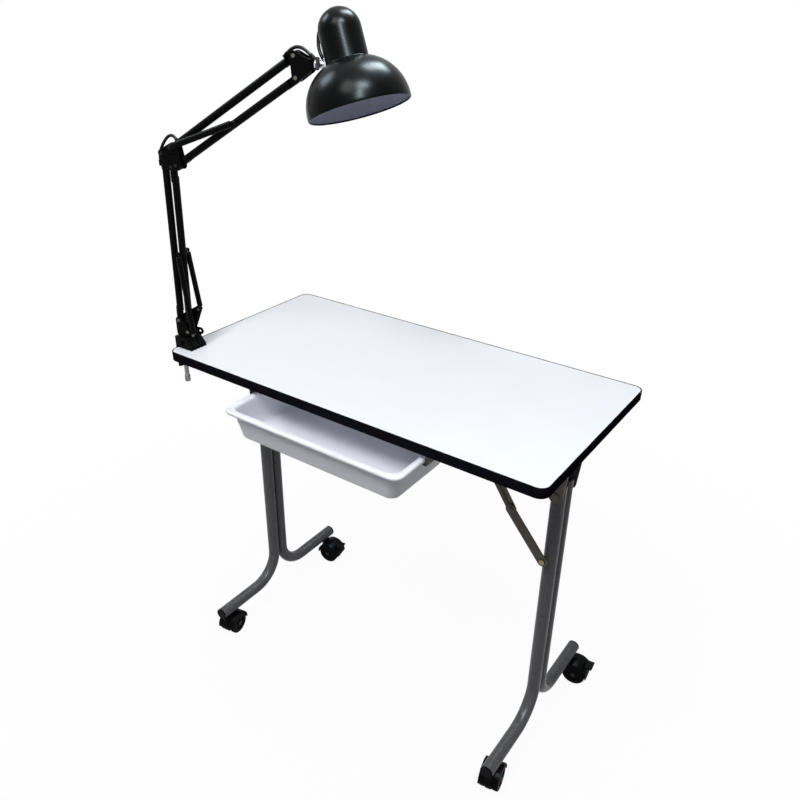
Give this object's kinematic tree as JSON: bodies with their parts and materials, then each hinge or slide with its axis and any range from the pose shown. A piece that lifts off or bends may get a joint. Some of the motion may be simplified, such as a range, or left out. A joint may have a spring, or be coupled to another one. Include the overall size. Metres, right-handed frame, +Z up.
{
  "type": "folding manicure table with work lamp",
  "caption": "Folding table on casters with bent tube legs, hinged braces, a slide-out tray under the top and a clamped work lamp on a sprung arm.",
  "frame": {"origin": "on the floor under the middle of the tabletop", "axes": "+X along the tabletop to the right seen from the tray side, +Y to the back, +Z up"},
  "size_m": [0.8107, 0.4668, 1.3234],
  "materials": {
    "white_laminate": "white laminate",
    "black_band": "satin",
    "silver_paint": "silver powder coat",
    "grey_steel": "zinc plated",
    "black_plastic": "satin",
    "white_plastic": "satin",
    "grey_wheel": "matt",
    "black_paint": "satin gloss",
    "chrome": "polished",
    "cord_rubber": "matt",
    "lamp_glass": "frosted"
  },
  "bodies": {
    "table_top": {"top_board": "white_laminate", "top_band": "black_band", "leg_bracket_right": "silver_paint", "leg_bracket_left": "silver_paint", "hinge_pins": "grey_steel", "brace_mount_right": "grey_steel", "brace_mount_left": "grey_steel", "brace_top_rivets": "grey_steel", "underside_screws": "grey_steel", "tray_rails": "grey_steel", "clamp_body": "black_plastic", "clamp_set_screw": "grey_steel"},
    "leg_right": {"leg_frame_right": "silver_paint", "leg_caps_right": "black_plastic", "brace_pin_right": "grey_steel"},
    "leg_left": {"leg_frame_left": "silver_paint", "leg_caps_left": "black_plastic", "brace_pin_left": "grey_steel"},
    "brace_upper_right": {"brace_upper_right": "grey_steel"},
    "brace_lower_right": {"brace_lower_right": "grey_steel"},
    "brace_upper_left": {"brace_upper_left": "grey_steel"},
    "brace_lower_left": {"brace_lower_left": "grey_steel"},
    "tray": {"tray_bin": "white_plastic"},
    "clamp_foot": {"clamp_pad": "black_plastic"},
    "clamp_screw": {"clamp_screw": "grey_steel"},
    "lamp_base": {"lamp_base": "black_paint", "lamp_base_pins": "grey_steel"},
    "lamp_lower_rear": {"lamp_lower_rear": "black_paint"},
    "lamp_lower_front": {"lamp_lower_front": "black_paint", "spring_lower_near": "black_plastic", "spring_lower_far": "black_plastic"},
    "lamp_elbow": {"lamp_elbow": "black_paint", "lamp_elbow_pins": "grey_steel", "cord_elbow": "cord_rubber"},
    "lamp_upper_top": {"lamp_upper_top": "black_paint", "cord_head": "cord_rubber"},
    "lamp_upper_low": {"lamp_upper_low": "black_paint", "spring_upper": "black_plastic"},
    "lamp_head": {"lamp_head": "black_paint", "lamp_head_pins": "grey_steel"},
    "lamp_knuckle": {"lamp_knuckle": "chrome", "lamp_tilt_screw": "chrome"},
    "lamp_shade": {"shade_shell": "black_paint", "lamp_holder": "black_plastic", "lamp_bulb": "lamp_glass", "cord_riser": "cord_rubber"},
    "caster_right_front": {"caster_right_front_hood": "black_plastic", "caster_right_front_pins": "grey_steel"},
    "caster_right_front_wheels": {"caster_right_front_wheels": "grey_wheel"},
    "caster_left_front": {"caster_left_front_hood": "black_plastic", "caster_left_front_pins": "grey_steel"},
    "caster_left_front_wheels": {"caster_left_front_wheels": "grey_wheel"},
    "caster_right_back": {"caster_right_back_hood": "black_plastic", "caster_right_back_pins": "grey_steel"},
    "caster_right_back_wheels": {"caster_right_back_wheels": "grey_wheel"},
    "caster_right_back_brake": {"caster_right_back_brake": "black_plastic"},
    "caster_left_back": {"caster_left_back_hood": "black_plastic", "caster_left_back_pins": "grey_steel"},
    "caster_left_back_wheels": {"caster_left_back_wheels": "grey_wheel"},
    "caster_left_back_brake": {"caster_left_back_brake": "black_plastic"}
  },
  "joints": [
    {"name": "leg_fold_right", "type": "hinge", "parent": "table_top", "child": "leg_right", "pos_m": [0.348, 0, 0.596], "axis": [0, 1, 0], "range_deg": [0, 90]},
    {"name": "brace_top_right", "type": "hinge", "parent": "table_top", "child": "brace_upper_right", "pos_m": [0.172, 0, 0.692], "axis": [0, 1, 0], "range_deg": [-21.03, 0.5]},
    {"name": "brace_foot_right", "type": "hinge", "parent": "leg_right", "child": "brace_lower_right", "pos_m": [0.342, 0, 0.458], "axis": [0, 1, 0], "range_deg": [-0.5, 48.4]},
    {"name": "leg_fold_left", "type": "hinge", "parent": "table_top", "child": "leg_left", "pos_m": [-0.348, 0, 0.568], "axis": [0, 1, 0], "range_deg": [-90, 0]},
    {"name": "brace_top_left", "type": "hinge", "parent": "table_top", "child": "brace_upper_left", "pos_m": [-0.172, 0, 0.692], "axis": [0, 1, 0], "range_deg": [-0.5, 33.24]},
    {"name": "brace_foot_left", "type": "hinge", "parent": "leg_left", "child": "brace_lower_left", "pos_m": [-0.342, 0, 0.458], "axis": [0, 1, 0], "range_deg": [-15.48, 0.5]},
    {"name": "caster_right_front_swivel", "type": "hinge", "parent": "leg_right", "child": "caster_right_front", "pos_m": [0.348, -0.176, 0.072], "axis": [0, 0, 1], "continuous": true},
    {"name": "caster_right_front_spin", "type": "hinge", "parent": "caster_right_front", "child": "caster_right_front_wheels", "pos_m": [0.34487, -0.15827, 0.025], "axis": [-0.9848, -0.1736, 0], "continuous": true},
    {"name": "caster_left_front_swivel", "type": "hinge", "parent": "leg_left", "child": "caster_left_front", "pos_m": [-0.348, -0.176, 0.072], "axis": [0, 0, 1], "continuous": true},
    {"name": "caster_left_front_spin", "type": "hinge", "parent": "caster_left_front", "child": "caster_left_front_wheels", "pos_m": [-0.35113, -0.15827, 0.025], "axis": [-0.9848, -0.1736, 0], "continuous": true},
    {"name": "caster_right_back_swivel", "type": "hinge", "parent": "leg_right", "child": "caster_right_back", "pos_m": [0.348, 0.176, 0.072], "axis": [0, 0, 1], "continuous": true},
    {"name": "caster_right_back_spin", "type": "hinge", "parent": "caster_right_back", "child": "caster_right_back_wheels", "pos_m": [0.3659, 0.17788, 0.025], "axis": [-0.1045, 0.9945, 0], "continuous": true},
    {"name": "caster_right_back_brake_pedal", "type": "hinge", "parent": "caster_right_back", "child": "caster_right_back_brake", "pos_m": [0.38786, 0.18019, 0.04952], "axis": [-0.1045, 0.9945, 0], "range_deg": [0, 20]},
    {"name": "caster_left_back_swivel", "type": "hinge", "parent": "leg_left", "child": "caster_left_back", "pos_m": [-0.348, 0.176, 0.072], "axis": [0, 0, 1], "continuous": true},
    {"name": "caster_left_back_spin", "type": "hinge", "parent": "caster_left_back", "child": "caster_left_back_wheels", "pos_m": [-0.3301, 0.17788, 0.025], "axis": [-0.1045, 0.9945, 0], "continuous": true},
    {"name": "caster_left_back_brake_pedal", "type": "hinge", "parent": "caster_left_back", "child": "caster_left_back_brake", "pos_m": [-0.30814, 0.18019, 0.04952], "axis": [-0.1045, 0.9945, 0], "range_deg": [0, 20]},
    {"name": "tray_slide", "type": "slide", "parent": "table_top", "child": "tray", "axis": [0, -1, 0], "range_m": [-0.035, 0.085]},
    {"name": "clamp_travel", "type": "slide", "parent": "table_top", "child": "clamp_foot", "axis": [0, 0, 1], "range_m": [-0.0032, 0.0002]},
    {"name": "clamp_turn", "type": "hinge", "parent": "clamp_foot", "child": "clamp_screw", "pos_m": [-0.394, -0.1665, 0.7015], "axis": [0, 0, 1], "range_deg": [-720, 0]},
    {"name": "lamp_swivel", "type": "hinge", "parent": "table_top", "child": "lamp_base", "pos_m": [-0.388, -0.157, 0.745], "axis": [0, 0, 1], "range_deg": [-170, 170]},
    {"name": "lamp_lower_arm", "type": "hinge", "parent": "lamp_base", "child": "lamp_lower_rear", "pos_m": [-0.39861, -0.1599, 0.777], "axis": [-0.2639, 0.9646, 0], "range_deg": [-10, 50], "deforming": ["spring_lower_near", "spring_lower_far", "cord_elbow"]},
    {"name": "lamp_lower_link", "type": "hinge", "parent": "lamp_base", "child": "lamp_lower_front", "pos_m": [-0.38198, -0.15535, 0.75494], "axis": [-0.2639, 0.9646, 0], "range_deg": [-10, 50]},
    {"name": "lamp_elbow_level", "type": "hinge", "parent": "lamp_lower_rear", "child": "lamp_elbow", "pos_m": [-0.39073, -0.15775, 1.08889], "axis": [-0.2639, 0.9646, 0], "range_deg": [-50, 10]},
    {"name": "lamp_upper_arm", "type": "hinge", "parent": "lamp_elbow", "child": "lamp_upper_top", "pos_m": [-0.36691, -0.15123, 1.10219], "axis": [-0.2639, 0.9646, 0], "range_deg": [-36, 49], "deforming": ["spring_upper", "cord_head"]},
    {"name": "lamp_upper_link", "type": "hinge", "parent": "lamp_elbow", "child": "lamp_upper_low", "pos_m": [-0.3648, -0.15065, 1.07017], "axis": [-0.2639, 0.9646, 0], "range_deg": [-36, 49]},
    {"name": "lamp_head_level", "type": "hinge", "parent": "lamp_upper_top", "child": "lamp_head", "pos_m": [-0.13669, -0.08825, 1.25425], "axis": [-0.2639, 0.9646, 0], "range_deg": [-49, 36]},
    {"name": "shade_swivel", "type": "hinge", "parent": "lamp_head", "child": "lamp_knuckle", "pos_m": [-0.09704, -0.0774, 1.24255], "axis": [0.9646, 0.2639, 0], "range_deg": [-60, 60]},
    {"name": "shade_tilt", "type": "hinge", "parent": "lamp_knuckle", "child": "lamp_shade", "pos_m": [-0.09704, -0.0774, 1.24255], "axis": [-0.2599, 0.95, -0.1728], "range_deg": [-18, 24]}
  ],
  "couplings": [
    {"joint": "brace_top_right", "follows": "leg_fold_right", "ratio": -0.22811},
    {"joint": "brace_foot_right", "follows": "leg_fold_right", "ratio": 0.53227},
    {"joint": "brace_top_left", "follows": "leg_fold_left", "ratio": -0.36378},
    {"joint": "brace_foot_left", "follows": "leg_fold_left", "ratio": 0.16642},
    {"joint": "clamp_travel", "follows": "clamp_turn", "m_per_rad": 0.000239},
    {"joint": "lamp_lower_link", "follows": "lamp_lower_arm", "ratio": 1},
    {"joint": "lamp_elbow_level", "follows": "lamp_lower_arm", "ratio": -1},
    {"joint": "lamp_upper_link", "follows": "lamp_upper_arm", "ratio": 1},
    {"joint": "lamp_head_level", "follows": "lamp_upper_arm", "ratio": -1}
  ]
}
